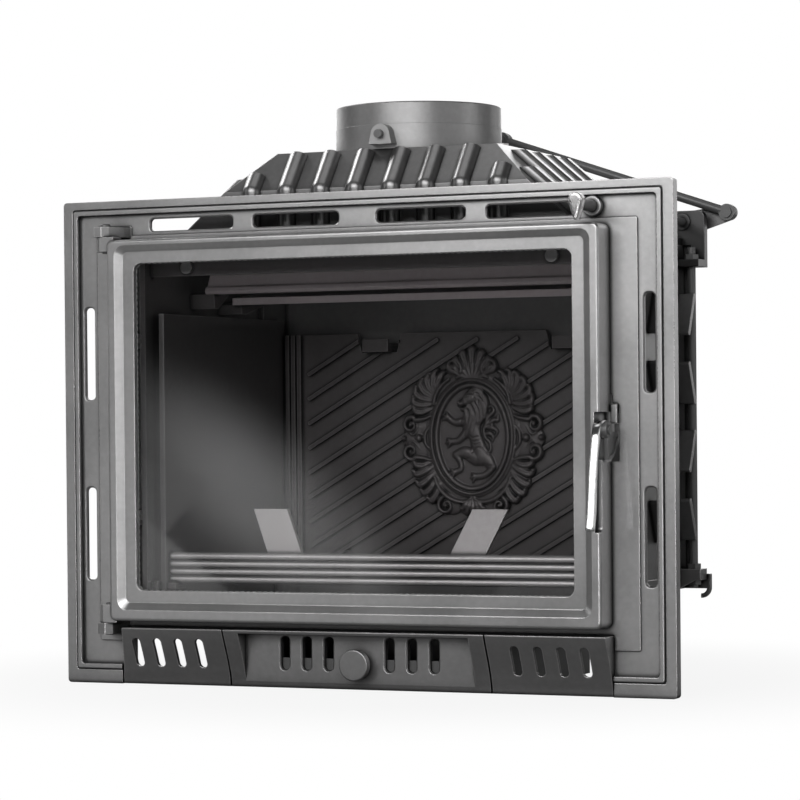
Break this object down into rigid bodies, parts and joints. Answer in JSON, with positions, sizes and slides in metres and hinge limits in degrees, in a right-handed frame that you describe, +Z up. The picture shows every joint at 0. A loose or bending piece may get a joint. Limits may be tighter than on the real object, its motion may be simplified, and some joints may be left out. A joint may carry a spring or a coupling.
{
  "type": "fireplace insert",
  "caption": "Cast-iron fireplace insert with a glazed side-hung door, ribbed firebox, smoke hood with round flue collar and damper, and a pull-out ash pan",
  "frame": {"origin": "on the hearth plane, straight below the axis of the flue collar", "axes": "+X to the right of someone facing the door, +Y into the wall, +Z up"},
  "size_m": [0.7, 0.406, 0.622],
  "materials": {
    "apron_left": "satin black stove paint on cast iron",
    "apron_right": "satin black stove paint on cast iron",
    "ash_box": "satin black sheet steel",
    "ash_front": "satin black stove paint on cast iron",
    "ash_knob": "satin black stove paint on cast iron",
    "ash_knob_screw": "bright steel",
    "ash_pan": "satin black sheet steel",
    "back_wall": "satin black stove paint on cast iron",
    "baffle_front": "matt heat-proof black",
    "baffle_lugs": "matt heat-proof black",
    "baffle_rear": "matt heat-proof black",
    "base_tray": "satin black stove paint on cast iron",
    "clip_screws": "bright steel",
    "collar_bolts": "bright steel",
    "crank_control": "satin black stove paint on cast iron",
    "crank_flap": "satin black stove paint on cast iron",
    "damper_flap": "satin black stove paint on cast iron",
    "damper_lever": "satin black stove paint on cast iron",
    "damper_link": "satin black sheet steel",
    "damper_shaft": "satin black sheet steel",
    "door_frame": "satin black stove paint on cast iron",
    "door_glass": "clear ceramic glass",
    "door_rope": "knitted glass-fibre rope",
    "fireback": "matt heat-proof black",
    "fireback_hangers": "matt heat-proof black",
    "flap_axle": "bright steel",
    "flap_screws": "bright steel",
    "flue_collar": "satin black stove paint on cast iron",
    "front_bolts": "bright steel",
    "front_frame": "satin black stove paint on cast iron",
    "glass_clips": "bright steel",
    "glass_tape": "knitted glass-fibre rope",
    "grate": "matt heat-proof black",
    "guard_blades": "matt heat-proof black",
    "guard_brackets": "matt heat-proof black",
    "hinge_pin_lower": "satin black sheet steel",
    "hinge_pin_upper": "satin black sheet steel",
    "hook_left": "satin black sheet steel",
    "hook_right": "satin black sheet steel",
    "keeper_screws": "bright steel",
    "latch_cam": "satin black sheet steel",
    "latch_keeper": "satin black sheet steel",
    "latch_lever": "polished",
    "latch_pin": "satin black sheet steel",
    "liner_left": "matt heat-proof black",
    "liner_right": "matt heat-proof black",
    "link_pin_control": "bright steel",
    "link_pin_flap": "bright steel",
    "lintel": "matt heat-proof black",
    "lintel_bolts": "bright steel",
    "log_guard": "matt heat-proof black",
    "smoke_hood": "satin black stove paint on cast iron",
    "tie_nuts": "satin black sheet steel",
    "tie_rods": "satin black sheet steel",
    "wall_left": "satin black stove paint on cast iron",
    "wall_right": "satin black stove paint on cast iron"
  },
  "bodies": {
    "insert": {"front_frame": "front_frame", "front_bolts": "front_bolts", "base_tray": "base_tray", "grate": "grate", "wall_left": "wall_left", "wall_right": "wall_right", "back_wall": "back_wall", "smoke_hood": "smoke_hood", "flue_collar": "flue_collar", "collar_bolts": "collar_bolts", "tie_rods": "tie_rods", "tie_nuts": "tie_nuts", "hook_left": "hook_left", "hook_right": "hook_right", "liner_left": "liner_left", "liner_right": "liner_right", "fireback": "fireback", "fireback_hangers": "fireback_hangers", "baffle_front": "baffle_front", "baffle_rear": "baffle_rear", "baffle_lugs": "baffle_lugs", "lintel": "lintel", "lintel_bolts": "lintel_bolts", "log_guard": "log_guard", "guard_blades": "guard_blades", "guard_brackets": "guard_brackets", "ash_box": "ash_box", "apron_left": "apron_left", "apron_right": "apron_right", "hinge_pin_upper": "hinge_pin_upper", "hinge_pin_lower": "hinge_pin_lower", "latch_keeper": "latch_keeper", "keeper_screws": "keeper_screws"},
    "door": {"door_frame": "door_frame", "door_glass": "door_glass", "glass_tape": "glass_tape", "door_rope": "door_rope", "glass_clips": "glass_clips", "clip_screws": "clip_screws"},
    "door_handle": {"latch_lever": "latch_lever", "latch_cam": "latch_cam", "latch_pin": "latch_pin"},
    "ash_drawer": {"ash_pan": "ash_pan", "ash_front": "ash_front", "ash_knob": "ash_knob", "ash_knob_screw": "ash_knob_screw"},
    "damper_control": {"damper_shaft": "damper_shaft", "damper_lever": "damper_lever", "crank_control": "crank_control", "link_pin_control": "link_pin_control"},
    "damper_link": {"damper_link": "damper_link"},
    "damper_flap": {"flap_axle": "flap_axle", "damper_flap": "damper_flap", "flap_screws": "flap_screws", "crank_flap": "crank_flap", "link_pin_flap": "link_pin_flap"}
  },
  "joints": [
    {"name": "door_swing", "type": "hinge", "parent": "insert", "child": "door", "pos_m": [-0.288, -0.186, 0.274], "axis": [0, 0, -1], "range_deg": [0, 120]},
    {"name": "handle_turn", "type": "hinge", "parent": "door", "child": "door_handle", "pos_m": [0.2815, -0.188, 0.27], "axis": [-1, 0, 0], "range_deg": [-12, 75]},
    {"name": "ash_pan_slide", "type": "slide", "parent": "insert", "child": "ash_drawer", "axis": [0, -1, 0], "range_m": [0, 0.2]},
    {"name": "damper_turn", "type": "hinge", "parent": "insert", "child": "damper_control", "pos_m": [0.264, 0, 0.496], "axis": [0, -1, 0], "range_deg": [0, 90]},
    {"name": "link_turn", "type": "hinge", "parent": "damper_control", "child": "damper_link", "pos_m": [0.31, 0.1295, 0.506], "axis": [0, -1, 0], "range_deg": [-90, 0]},
    {"name": "flap_turn", "type": "hinge", "parent": "insert", "child": "damper_flap", "pos_m": [0, 0, 0.5865], "axis": [0, -1, 0], "range_deg": [0, 90]}
  ],
  "couplings": [
    {"joint": "link_turn", "follows": "damper_turn", "ratio": -1},
    {"joint": "flap_turn", "follows": "damper_turn", "ratio": 1}
  ]
}
